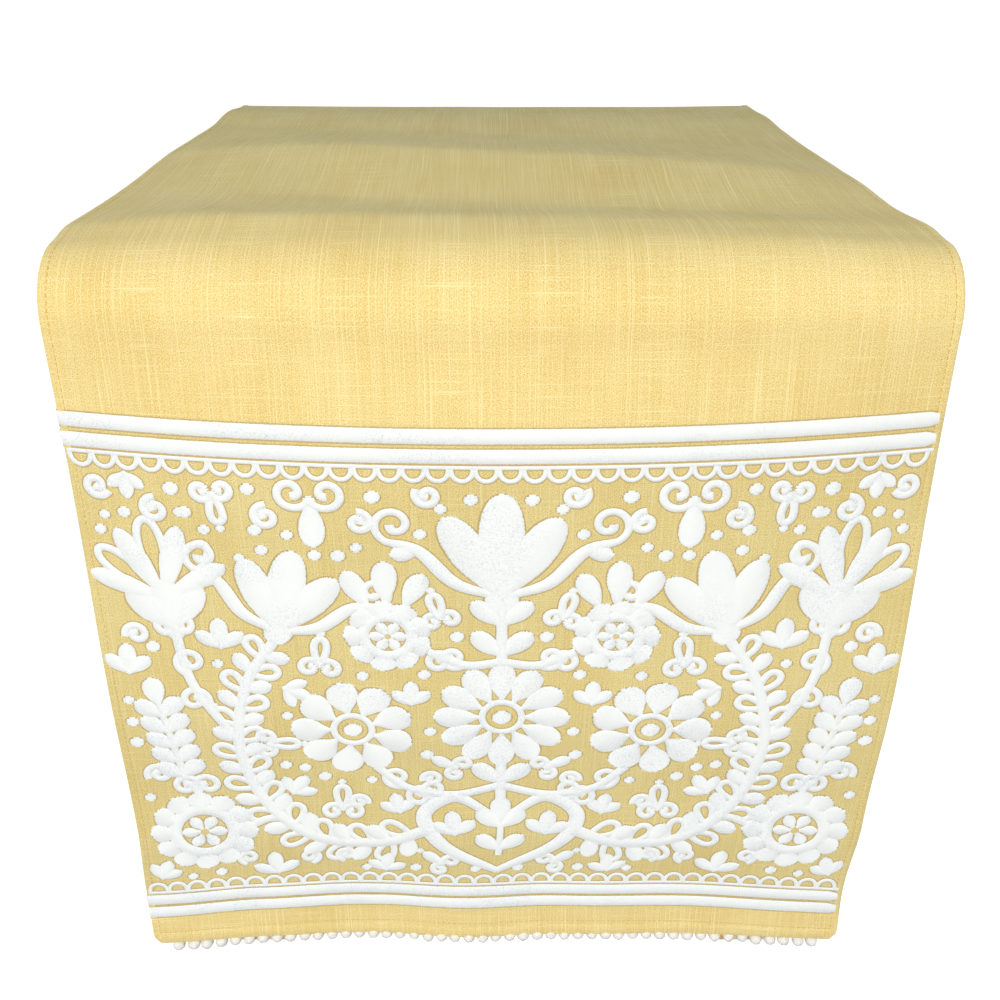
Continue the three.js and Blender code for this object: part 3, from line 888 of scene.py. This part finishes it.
def layShapes(tree, given, points, rotation, scale):
    # the shape on every point, made real and given its finish; scale is a node and its output
    shape = addNode(tree, "GeometryNodeObjectInfo", [("Object", given, "Shape")])
    laid = addNode(tree, "GeometryNodeInstanceOnPoints", [
        ("Points", points, 0), ("Instance", shape, "Geometry"), ("Rotation", rotation, 0), ("Scale", *scale)])
    real = addNode(tree, "GeometryNodeRealizeInstances", inOrder(laid))
    finished = addNode(tree, "GeometryNodeSetMaterial",
                       [("Geometry", real, 0), ("Material", given, "Finish")])
    addNode(tree, "NodeGroupOutput", inOrder(finished))
    return tree


def stitchTree():
    sizes = {name: stitching[name] for name in ("pitch", "overlap", "low", "rise", "high")}
    leans = {name: math.radians(stitching[name]) for name in ("slant", "jitter")}
    tree, given = newTree("layStitches", *((name.capitalize(), "Float", value)
                                           for name, value in {**sizes, **leans}.items()))
    stepped = addNode(tree, "GeometryNodeResampleCurve",
                      [("Curve", given, "Geometry"), ("Length", given, "Pitch")], mode="LENGTH")
    tangent = addNode(tree, "GeometryNodeInputTangent")
    facing = addNode(tree, "FunctionNodeAlignRotationToVector", [("Vector", tangent, "Tangent")],
                     axis="X", pivot_axis="Z")
    least, most = (addNode(tree, "ShaderNodeMath", [(0, given, "Slant"), (1, given, "Jitter")], operation=how)
                   for how in ("SUBTRACT", "ADD"))
    lean = addNode(tree, "FunctionNodeRandomValue", [(2, least, 0), (3, most, 0), ("Seed", given, "Seed")],
                   data_type="FLOAT")
    euler = addNode(tree, "ShaderNodeCombineXYZ", [("Z", lean, 1)])
    twist = addNode(tree, "FunctionNodeEulerToRotation", [("Euler", euler, "Vector")])
    rotation = addNode(tree, "FunctionNodeRotateRotation", [("Rotation", facing, 0), ("Rotate By", twist, 0)],
                       rotation_space="LOCAL")
    radius = addNode(tree, "GeometryNodeInputRadius")
    ragged = addNode(tree, "FunctionNodeRandomValue", [("Seed", given, "Seed")], {2: 0.97, 3: 1.02},
                     data_type="FLOAT")
    across = addNode(tree, "ShaderNodeMath", [(0, radius, 0), (1, ragged, 1)], operation="MULTIPLY")
    long = addNode(tree, "ShaderNodeMath", [(0, given, "Pitch"), (1, given, "Overlap")], operation="MULTIPLY")
    high = addNode(tree, "ShaderNodeMath", [(0, radius, 0), (1, given, "Rise"), (2, given, "Low")],
                   operation="MULTIPLY_ADD")
    capped = addNode(tree, "ShaderNodeMath", [(0, high, 0), (1, given, "High")], operation="MINIMUM")
    scale = addNode(tree, "ShaderNodeCombineXYZ", inOrder(long, across, capped))
    return layShapes(tree, given, stepped, rotation, (scale, 0))


stitchMesh = stitchShape()
stitchNodes = stitchTree()


def fuller(strokes):
    return [(line, half + stitching["fullness"]) for line, half in strokes]


def strokesAsCurve(name, strokes):
    curve = bpy.data.curves.new(name, "CURVE")
    curve.dimensions = "3D"
    for line, half in strokes:
        spline = curve.splines.new("POLY")
        spline.points.add(len(line) - 1)
        flat = np.concatenate([line, np.zeros((len(line), 1)), np.ones((len(line), 1))], 1)
        spline.points.foreach_set("co", flat.astype(np.float32).ravel())
        spline.points.foreach_set("radius", np.asarray(half, np.float32))
    return addToScene(name, curve)


def runNodes(holder, tree, name, **values):
    # evaluates the tree on the holder and keeps the result as a plain mesh
    modifier = holder.modifiers.new("nodes", "NODES")
    modifier.node_group = tree
    for socket in tree.interface.items_tree:
        if socket.in_out == "INPUT" and socket.name in values:
            modifier[socket.identifier] = values[socket.name]
    bpy.context.view_layer.update()
    evaluated = holder.evaluated_get(bpy.context.evaluated_depsgraph_get())
    mesh = bpy.data.meshes.new_from_object(evaluated)
    mesh.name = name
    bpy.data.objects.remove(holder)
    shadeSmooth(mesh)
    return addToScene(name, mesh)


def stitched(name, strokes, thread, seed, **changes):
    holder = strokesAsCurve(name + "Lines", strokes)
    return runNodes(holder, stitchNodes, name, Shape=stitchMesh, Finish=thread, Seed=seed, **changes)


def drawnIn(up):
    # the border rows lie a little nearer each other in the middle of the cloth than at its sides
    middle = (panel["plainBelow"] + panel["topAt"]) / 2
    return np.clip((middle - up) / (middle - panel["plainBelow"]), -1, 1) * panel["drawnIn"]


def layOnEnd(piece, end, base=runner["thickness"] / 2):
    # bends flat work (across, up from the hem, height) onto a hanging end of the cloth
    flat = getPoints(piece.data)
    across, up, height = flat.T
    up = up + drawnIn(up) * (1 - (across / halfWidth) ** 2) * (np.abs(across) < halfWidth + 5)
    sign = -1 if end == "front" else 1
    setPoints(piece.data, clothPoints(-sign * across, sign * (halfLength - up), base + height))
    return piece


def edgeShadowBands(name, strokes):
    # a narrow band of darker linen laid on the cloth beside the stitching: painted shadow, partly the
    # needle-pierced cloth there
    points, faces = [], []
    for k, (line, half) in enumerate(strokes):
        way = np.gradient(line, axis=0)
        aside = np.stack([-way[:, 1], way[:, 0]], 1) / np.linalg.norm(way, axis=1)[:, None]
        reach = (half + stitching["halo"])[:, None]
        first, count, high = len(points), len(line), 0.1 + 0.002 * (k % 40)     # bands that cross lie apart
        ends = aside[:, ::-1] * [1, -1] * stitching["halo"]
        line = line + np.outer([-1] + [0] * (count - 2) + [1], [1, 1]) * ends
        points += [(*p, high) for pair in zip(line + aside * reach, line - aside * reach) for p in pair]
        faces += [(at, at + 1, at + 3, at + 2) for at in range(first, first + 2 * count - 2, 2)]
    return meshObject(name, points, faces, edgeShadowLinen)


groups = {
    "Sides": fuller(mirrored(sideMotifs())),
    "Middle": fuller(middleMotifs() + mirrored(fillingMotifs())),
    "Borders": borderRows(1, panel["plainBelow"]) + borderRows(-1, panel["topAt"]),
}
embroidery = []
for end, seed in (("front", 11), ("back", 12)):
    for part, strokes in groups.items():
        piece = stitched(f"embroidery{part}{end.capitalize()}", strokes, whiteThread, seed)
        embroidery.append(layOnEnd(piece, end))
        print(piece.name, len(piece.data.polygons), "faces")
        seed += 10
    edges = edgeShadowBands(f"embroideryEdges{end.capitalize()}", sum(groups.values(), []))
    embroidery.append(layOnEnd(edges, end))


# Hem sewing: short yellow stitches end to end in the groove of every hem, front and back

sewing = {"pitch": 3.0, "stitchLong": 2.3, "thread": 0.6, "high": 0.34, "jitter": 2, "inset": 1.5,
          "proud": 0.05}


def hemLines():
    side = halfWidth - runner["sideHem"] + runner["seamIn"]
    low = runner["endHem"] - runner["seamIn"]
    tip, margin = halfWidth - sewing["inset"], sewing["inset"]
    rows = [[(x, margin), (x, halfLength)] for x in (-side, side)] + [[(-tip, low), (tip, low)]]
    lines = [evenLine(row, 20) for row in rows]
    return [(line, np.full(len(line), sewing["stitchLong"] / 2)) for line in lines]


hemSewing = []
for end in ("front", "back"):
    lines = stitched(f"hemSewing{end.capitalize()}", hemLines(), yellowThread, 31, Pitch=sewing["pitch"],
                     Overlap=sewing["thread"] / sewing["pitch"], Slant=math.pi / 2,
                     Jitter=math.radians(sewing["jitter"]), Low=sewing["high"], Rise=0.0, High=sewing["high"])
    hemSewing.append(layOnEnd(lines, end, runner["thickness"] / 2 - runner["hemGroove"] + sewing["proud"]))
print("hems sewn")
print("hems sewn")


# Ball trims: a narrow tape behind each end hem and a row of fluffy cotton balls below it

trim = {
    "sideMargin": 9, "tapeThickness": 1, "tapeAbove": 6, "tapeBelow": 0.6, "backGap": 0.6, "setBack": 1,
    "ballRadius": 3.8, "pitch": 8.1, "overlap": 0.2, "sway": 0.35, "smallest": 0.94, "largest": 1.04,
    "seed": 5,
    "coreIn": 0.35, "fluff": 0.13,          # how deep the solid core lies, and how lumpy it is
    "fibres": 70, "fibreLong": 1.1, "fibreWide": 0.11, "fibreStray": 0.25,
    "rootIn": 0.7, "proud": 0.35,           # how deep a fibre begins, and the share of it that stands off
}
halfTrim = halfWidth - trim["sideMargin"]
ballCount = int(2 * halfTrim / trim["pitch"])


def ballShape():
    # a cotton ball: a lumpy round with short fibres standing off it
    chance = np.random.default_rng(3)
    core = trim["ballRadius"] - trim["coreIn"]
    shape = bmesh.new()
    bmesh.ops.create_icosphere(shape, subdivisions=3, radius=core)
    for vert in shape.verts:
        vert.co += vert.co.normalized() * chance.normal(0, trim["fluff"])
    for _ in range(trim["fibres"]):
        out = Vector(chance.normal(size=3)).normalized()
        side = out.orthogonal().normalized() * trim["fibreWide"]
        root = out * (trim["ballRadius"] - trim["rootIn"])
        tip = out * (core + chance.uniform(0.2, 1) * trim["fibreLong"] * trim["proud"])
        tip += Vector(chance.normal(size=3)) * trim["fibreStray"]
        shape.faces.new([shape.verts.new(p) for p in (root - side, root + side, tip)])
    mesh = bpy.data.meshes.new("ballShape")
    shape.to_mesh(mesh)
    shape.free()
    holder = addToScene("ballShape", mesh)
    holder.hide_render = True
    return holder


def ballTree():
    tree, given = newTree("rowOfBalls", ("Count", "Int", ballCount), ("Sway", "Float", trim["sway"]))
    stepped = addNode(tree, "GeometryNodeResampleCurve",
                      [("Curve", given, "Geometry"), ("Count", given, "Count")], mode="COUNT")
    less = addNode(tree, "ShaderNodeMath", [(0, given, "Sway")], {1: -1.0}, operation="MULTIPLY")
    low = addNode(tree, "ShaderNodeCombineXYZ", inOrder(less, less, less))
    top = addNode(tree, "ShaderNodeCombineXYZ", [(axis, given, "Sway") for axis in "XYZ"])
    sway = addNode(tree, "FunctionNodeRandomValue", [*inOrder(low, top), ("Seed", given, "Seed")],
                   data_type="FLOAT_VECTOR")
    moved = addNode(tree, "GeometryNodeSetPosition", [("Geometry", stepped, 0), ("Offset", sway, 0)])
    turn = addNode(tree, "FunctionNodeRandomValue", [("Seed", given, "Seed")], {1: [6.28] * 3},
                   data_type="FLOAT_VECTOR")
    size = addNode(tree, "FunctionNodeRandomValue", [("Seed", given, "Seed")],
                   {2: trim["smallest"], 3: trim["largest"]}, data_type="FLOAT")
    return layShapes(tree, given, moved, turn, (size, 1))


def makeTape(name):
    # a flat band behind the hem, closed at both ends
    back = -(runner["thickness"] / 2 + runner["hemBehind"] + trim["backGap"] + trim["tapeThickness"])
    acrossLine = np.linspace(-halfTrim, halfTrim, 97)
    above, below = trim["tapeAbove"], -trim["tapeBelow"]
    corners = [(above, 0), (above, 1), (below, 1), (below, 0)]
    points = np.array([(x, up, trim["tapeThickness"] * deep) for x in acrossLine for up, deep in corners])
    last = 4 * (len(acrossLine) - 1)
    faces = [(at + j, at + (j + 1) % 4, at + 4 + (j + 1) % 4, at + 4 + j)
             for at in range(0, last, 4) for j in range(4)]
    faces += [(3, 2, 1, 0), tuple(range(last, last + 4))]
    return meshObject(name, points + [0, 0, back + trim["setBack"]], faces, whiteThread, False)


def joined(name, parts):
    # one piece from several, each keeping its finish
    shape, mesh = bmesh.new(), bpy.data.meshes.new(name)
    for k, part in enumerate(parts):
        already = len(shape.faces)
        shape.from_mesh(part.data)
        for face in list(shape.faces)[already:]:
            face.material_index = k
        mesh.materials.append(part.data.materials[0])
        bpy.data.objects.remove(part)
    shape.to_mesh(mesh)
    shape.free()
    return addToScene(name, mesh)


# light soaks through the loose cotton
ballCotton = whiteCotton("ballCotton", "#F9FDFF", "#F0F4F6", 1.4, **{
    "Sheen Weight": 1.0, "Subsurface Weight": 0.7, "Subsurface Scale": 1.0,
    "Subsurface Radius": [2.5 * mm] * 3})
ballMesh, ballNodes = ballShape(), ballTree()
trims = []
for end in ("front", "back"):
    x, below = (ballCount - 1) * trim["pitch"] / 2, trim["overlap"] - trim["ballRadius"]
    row = strokesAsCurve("ballLine", [(np.array([(-x, below), (0, below), (x, below)]), np.ones(3))])
    balls = runNodes(row, ballNodes, f"balls{end}", Shape=ballMesh, Finish=ballCotton, Count=ballCount,
                     Seed=trim["seed"])
    whole = joined(f"ballTrim{end.capitalize()}", [balls, makeTape(f"tape{end}")])
    trims.append(layOnEnd(whole, end, -trim["setBack"]))
    print(whole.name, len(whole.data.polygons), "faces")


# The table: planed boards with softened edges, in the place of the part's own

wood = {
    "bevel": 1.6, "segments": 3, "sharpOver": 40, "smoothUnder": 30,
    "easeDepth": 3.2, "easeMiddle": 38, "easeSpread": 52,      # how the top's long edges are worn, by angle
}
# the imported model's boards, and the way the grain of each runs
boards = {
    "table_top": "Y", "table_leg_front_left": "Z", "table_leg_front_right": "Z", "table_leg_back_left": "Z",
    "table_leg_back_right": "Z", "table_apron_front": "X", "table_apron_back": "X", "table_apron_left": "Y",
    "table_apron_right": "Y",
}
pines = {axis: planedPine(f"planedPine{axis}", axis) for axis in "XYZ"}


def wearTop(shape):
    # the top's long edges are worn rounder than they were cut
    for vert in shape.verts:
        y = abs(vert.co.y) / mm - table["depth"] / 2 + table["edgeRound"]
        z = vert.co.z / mm - table["height"] + table["edgeRound"]
        angle = math.atan2(y, z)
        if y > 0 and z > 0:
            worn = bell(math.degrees(angle) - wood["easeMiddle"], wood["easeSpread"])
            ease = wood["easeDepth"] * float(worn) * mm
            vert.co.y -= math.copysign(ease * math.sin(angle), vert.co.y)
            vert.co.z -= ease * math.cos(angle)


def makeBoard(node, grainAxis):
    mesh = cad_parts[node].data.copy()
    shape = bmesh.new()
    shape.from_mesh(mesh)
    bmesh.ops.remove_doubles(shape, verts=shape.verts, dist=0.01 * mm)
    bmesh.ops.dissolve_limit(shape, angle_limit=math.radians(1), verts=shape.verts, edges=shape.edges)
    sharp = [edge for edge in shape.edges
             if len(edge.link_faces) == 2 and edge.calc_face_angle() > math.radians(wood["sharpOver"])]
    bmesh.ops.bevel(shape, geom=sharp, offset=wood["bevel"] * mm, segments=wood["segments"], profile=0.5,
                    affect="EDGES")
    if node == "table_top":
        wearTop(shape)
    shape.to_mesh(mesh)
    shape.free()
    mesh.materials.clear()
    mesh.materials.append(pines[grainAxis])
    shadeSmooth(mesh)
    mesh.set_sharp_from_angle(angle=math.radians(wood["smoothUnder"]))
    first, *rest = node.split("_")
    return addToScene(first + "".join(word.capitalize() for word in rest), mesh)


tablePieces = [(makeBoard(node, grainAxis), node) for node, grainAxis in boards.items()]
print("table made")

for helper in (stitchMesh, ballMesh):
    bpy.data.objects.remove(helper)


# Stage: pale floor, soft light, and a camera at the photo's angle

studio = {
    "floorSize": 60.0, "floorGlow": "#F8F5F2", "floorPaint": ("#9A9A9A", "#A0A0A0"),
    # what the sky gives at and below the horizon, just over it, and overhead
    "below": "#7A818B", "horizon": "#B0B6BF", "overhead": "#6F8AA0",
}
# where each lamp stands from its aim: distance, elevation, and turn from the front towards the right
lamps = named("name aim away elevation turn size power colour",
              ("key", (0, -0.24, 0.34), 1.8, 34, -8, (0.45, 0.45), 30.8, "#FBF0DC"),
              ("bounce", (0, -0.25, 0.05), 0.55, -2, 0, (1.2, 0.08), 0.9, "#FBF6E8"),
              ("fillBack", (0, 0.25, 0.2), 1.5, 0, 174, (1.0, 0.3), 16.0, "#FBF6EC"),
              ("fillLeft", (0, 0, 0.2), 1.7, 0, -98, (1.0, 0.3), 9.0, "#FBF6EC"),
              ("fillRight", (0, 0, 0.2), 1.7, 0, 98, (1.0, 0.3), 9.0, "#FBF6EC"))
# how far the camera stands ahead of the table's middle and over the cloth, and how far down it looks
view = {"lens": 39.85, "sensor": 36, "pitch": 27.3, "ahead": 704.0, "aboveTop": 124.4}


def makeFloor():
    # matt white floor that glows a little, as a light table does
    finish = twoShades("whiteFloor", 3.0, *studio["floorPaint"], Roughness=0.9, **{
        "Emission Color": linear(studio["floorGlow"]), "Emission Strength": 1.0})
    half = studio["floorSize"] / 2
    floor = meshObject("floor", [(-half, -half, 0), (half, -half, 0), (half, half, 0), (-half, half, 0)],
                       [(0, 1, 2, 3)], finish)
    floor.visible_diffuse = False       # the sky's lower half stands in for its bounce


def makeSky():
    # pale round the horizon and blue overhead, so that the cloth's top is lit cooler than its hanging ends
    world = bpy.data.worlds.new("studio")
    world.use_nodes = True
    tree = world.node_tree
    direction = addNode(tree, "ShaderNodeTexCoord")
    split = addNode(tree, "ShaderNodeSeparateXYZ", [("Vector", direction, "Generated")])
    height = addNode(tree, "ShaderNodeMapRange", [("Value", split, "Z")], {1: -1.0})
    ramp = addNode(tree, "ShaderNodeValToRGB", inOrder(height))
    setRamp(ramp, studio["below"], studio["overhead"], (0.49, studio["below"]), (0.5, studio["horizon"]),
            (0.7, studio["horizon"]), (0.82, studio["overhead"]))
    tree.links.new(ramp.outputs["Color"], tree.nodes["Background"].inputs["Color"])
    bpy.context.scene.world = world
    bpy.context.scene.view_settings.view_transform = "Standard"


def makeLamps():
    # a soft key over the camera's shoulder, near enough for the far end of the top to be dimmer, a low strip
    # that gives back what a white floor would throw up, and fills lower than the top for the other sides
    for lamp in lamps:
        light = bpy.data.lights.new(lamp["name"], "AREA")
        light.shape = "ELLIPSE"
        light.size, light.size_y = lamp["size"]
        light.energy, light.color = lamp["power"], linear(lamp["colour"])[:3]
        up, turn = math.radians(lamp["elevation"]), math.radians(lamp["turn"])
        away = Vector((math.sin(turn) * math.cos(up), -math.cos(turn) * math.cos(up), math.sin(up)))
        holder = addToScene(lamp["name"], light)
        holder.location = Vector(lamp["aim"]) + away * lamp["away"]
        holder.rotation_mode = "QUATERNION"
        holder.rotation_quaternion = away.to_track_quat("Z", "Y")
        holder.visible_camera = False


makeFloor()
makeSky()
makeLamps()
lens = bpy.data.cameras.new("camera")
lens.lens, lens.sensor_width = view["lens"], view["sensor"]
camera = addToScene("camera", lens)
camera.location = Vector((0, -view["ahead"], topLevel + runner["thickness"] / 2 + view["aboveTop"])) * mm
camera.rotation_euler = (math.radians(90 - view["pitch"]), 0, 0)
bpy.context.scene.camera = camera

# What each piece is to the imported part

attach(cloth, "root")
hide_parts("runner_cloth")
for piece in embroidery:
    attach(piece, "root")
for piece in hemSewing:
    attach(piece, "root")
for piece, node in zip(trims, ("ball_trim_front", "ball_trim_back")):
    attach(piece, "root")
    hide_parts(node)
for piece, node in tablePieces:
    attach(piece, "root")
    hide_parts(node)

print("scene ready")
